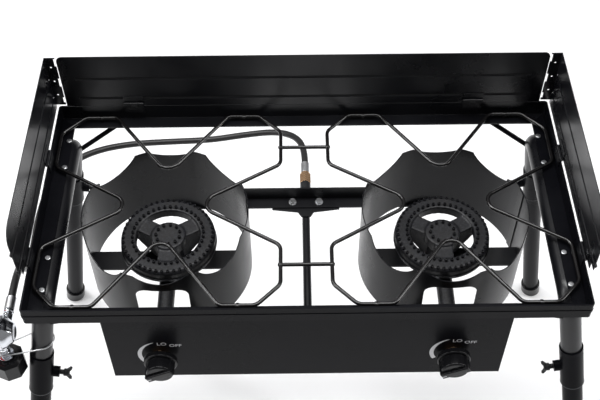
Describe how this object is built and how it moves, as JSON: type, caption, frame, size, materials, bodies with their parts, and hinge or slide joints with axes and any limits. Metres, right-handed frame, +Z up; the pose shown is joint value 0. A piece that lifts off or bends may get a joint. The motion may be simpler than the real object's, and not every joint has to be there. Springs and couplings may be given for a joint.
{
  "type": "camping stove",
  "caption": "Outdoor gas stove on splayed slip-in legs: angle frame, wire grates, cast ring burners in wind cups, folding wind screen, regulator and hose.",
  "frame": {"origin": "on the ground under the middle of the top frame", "axes": "+X to the right of a user facing the knobs, +Y away from the user, +Z up"},
  "size_m": [1.041, 0.629, 0.76],
  "materials": {
    "frame_paint": "satin powder coat",
    "panel_paint": "satin powder coat on sheet steel",
    "grate_enamel": "gloss enamel on round wire",
    "cast_iron": "sand-cast and blackened",
    "zinc": "zinc plated",
    "dark_steel": "black oxide",
    "brass": "turned",
    "black_plastic": "moulded",
    "red_plastic": "moulded",
    "hose_rubber": "smooth extruded"
  },
  "bodies": {
    "stove": {"front_rail": "frame_paint", "back_rail": "frame_paint", "left_rail": "frame_paint", "right_rail": "frame_paint", "left_side_tube": "frame_paint", "right_side_tube": "frame_paint", "leg_sockets": "frame_paint", "leg_braces": "frame_paint", "crossbar": "frame_paint", "tee_plate": "frame_paint", "cup_brackets": "frame_paint", "screen_hinges": "frame_paint", "gas_manifold": "frame_paint", "supply_pipe": "frame_paint", "front_panel": "panel_paint", "left_wind_cup": "panel_paint", "right_wind_cup": "panel_paint", "burner_straps": "panel_paint", "left_burner": "cast_iron", "right_burner": "cast_iron", "frame_screws": "zinc", "bracket_bolts": "zinc", "regulator_body": "zinc", "tie_wire": "zinc", "rear_crimp": "zinc", "front_crimp": "zinc", "pipe_coupling": "dark_steel", "flare_nut": "brass", "gas_jets": "brass", "left_valve": "brass", "right_valve": "brass", "valve_nuts": "brass", "inlet_nipple": "brass", "gas_hose": "hose_rubber"},
    "left_knob": {"left_knob": "black_plastic", "left_stem": "zinc"},
    "right_knob": {"right_knob": "black_plastic", "right_stem": "zinc"},
    "left_air_shutter": {"left_air_shutter": "zinc"},
    "right_air_shutter": {"right_air_shutter": "zinc"},
    "regulator_knob": {"regulator_knob": "red_plastic"},
    "hand_wheel": {"hand_wheel": "black_plastic"},
    "grate": {"left_grate": "grate_enamel", "right_grate": "grate_enamel", "grate_links": "grate_enamel"},
    "back_windscreen": {"back_windscreen": "panel_paint"},
    "left_windscreen": {"left_windscreen": "panel_paint"},
    "right_windscreen": {"right_windscreen": "panel_paint"},
    "front_left_leg": {"front_left_leg": "frame_paint", "front_left_foot": "black_plastic"},
    "front_left_wing_bolt": {"front_left_wing_bolt": "dark_steel"},
    "front_right_leg": {"front_right_leg": "frame_paint", "front_right_foot": "black_plastic"},
    "front_right_wing_bolt": {"front_right_wing_bolt": "dark_steel"},
    "back_left_leg": {"back_left_leg": "frame_paint", "back_left_foot": "black_plastic"},
    "back_left_wing_bolt": {"back_left_wing_bolt": "dark_steel"},
    "back_right_leg": {"back_right_leg": "frame_paint", "back_right_foot": "black_plastic"},
    "back_right_wing_bolt": {"back_right_wing_bolt": "dark_steel"}
  },
  "joints": [
    {"name": "left_knob_turn", "type": "hinge", "parent": "stove", "child": "left_knob", "pos_m": [-0.218, -0.22, 0.53], "axis": [0, 1, 0], "range_deg": [0, 150]},
    {"name": "left_air_shutter_turn", "type": "hinge", "parent": "stove", "child": "left_air_shutter", "pos_m": [-0.218, -0.159, 0.529], "axis": [0, 1, 0], "range_deg": [0, 60]},
    {"name": "right_knob_turn", "type": "hinge", "parent": "stove", "child": "right_knob", "pos_m": [0.218, -0.22, 0.53], "axis": [0, 1, 0], "range_deg": [0, 150]},
    {"name": "right_air_shutter_turn", "type": "hinge", "parent": "stove", "child": "right_air_shutter", "pos_m": [0.218, -0.159, 0.529], "axis": [0, 1, 0], "range_deg": [0, 60]},
    {"name": "regulator_knob_turn", "type": "hinge", "parent": "stove", "child": "regulator_knob", "pos_m": [-0.47, -0.186, 0.57], "axis": [-1, 0, 0], "range_deg": [0, 720]},
    {"name": "hand_wheel_turn", "type": "hinge", "parent": "stove", "child": "hand_wheel", "pos_m": [-0.453, -0.194, 0.501], "axis": [0, 0, 1], "continuous": true},
    {"name": "grate_lift_off", "type": "slide", "parent": "stove", "child": "grate", "axis": [0, 0, 1], "range_m": [0, 0.15]},
    {"name": "back_windscreen_fold", "type": "hinge", "parent": "stove", "child": "back_windscreen", "pos_m": [0, 0.197, 0.6585], "axis": [1, 0, 0], "range_deg": [0, 90]},
    {"name": "left_windscreen_fold", "type": "hinge", "parent": "stove", "child": "left_windscreen", "pos_m": [-0.405, 0, 0.6532], "axis": [0, 1, 0], "range_deg": [0, 90]},
    {"name": "right_windscreen_fold", "type": "hinge", "parent": "stove", "child": "right_windscreen", "pos_m": [0.405, 0, 0.6532], "axis": [0, -1, 0], "range_deg": [0, 90]},
    {"name": "front_left_leg_slide", "type": "slide", "parent": "stove", "child": "front_left_leg", "axis": [-0.1839, -0.1723, -0.9677], "range_m": [0, 0.08]},
    {"name": "front_left_wing_bolt_turn", "type": "hinge", "parent": "stove", "child": "front_left_wing_bolt", "pos_m": [-0.38326, -0.18803, 0.45726], "axis": [0.983, -0.0322, -0.181], "range_deg": [0, 360]},
    {"name": "front_right_leg_slide", "type": "slide", "parent": "stove", "child": "front_right_leg", "axis": [0.1839, -0.1723, -0.9677], "range_m": [0, 0.08]},
    {"name": "front_right_wing_bolt_turn", "type": "hinge", "parent": "stove", "child": "front_right_wing_bolt", "pos_m": [0.38326, -0.18803, 0.45726], "axis": [-0.983, -0.0322, -0.181], "range_deg": [0, 360]},
    {"name": "back_left_leg_slide", "type": "slide", "parent": "stove", "child": "back_left_leg", "axis": [-0.1839, 0.1723, -0.9677], "range_m": [0, 0.08]},
    {"name": "back_left_wing_bolt_turn", "type": "hinge", "parent": "stove", "child": "back_left_wing_bolt", "pos_m": [-0.38326, 0.18803, 0.45726], "axis": [0.983, 0.0322, -0.181], "range_deg": [0, 360]},
    {"name": "back_right_leg_slide", "type": "slide", "parent": "stove", "child": "back_right_leg", "axis": [0.1839, 0.1723, -0.9677], "range_m": [0, 0.08]},
    {"name": "back_right_wing_bolt_turn", "type": "hinge", "parent": "stove", "child": "back_right_wing_bolt", "pos_m": [0.38326, 0.18803, 0.45726], "axis": [-0.983, 0.0322, -0.181], "range_deg": [0, 360]}
  ]
}
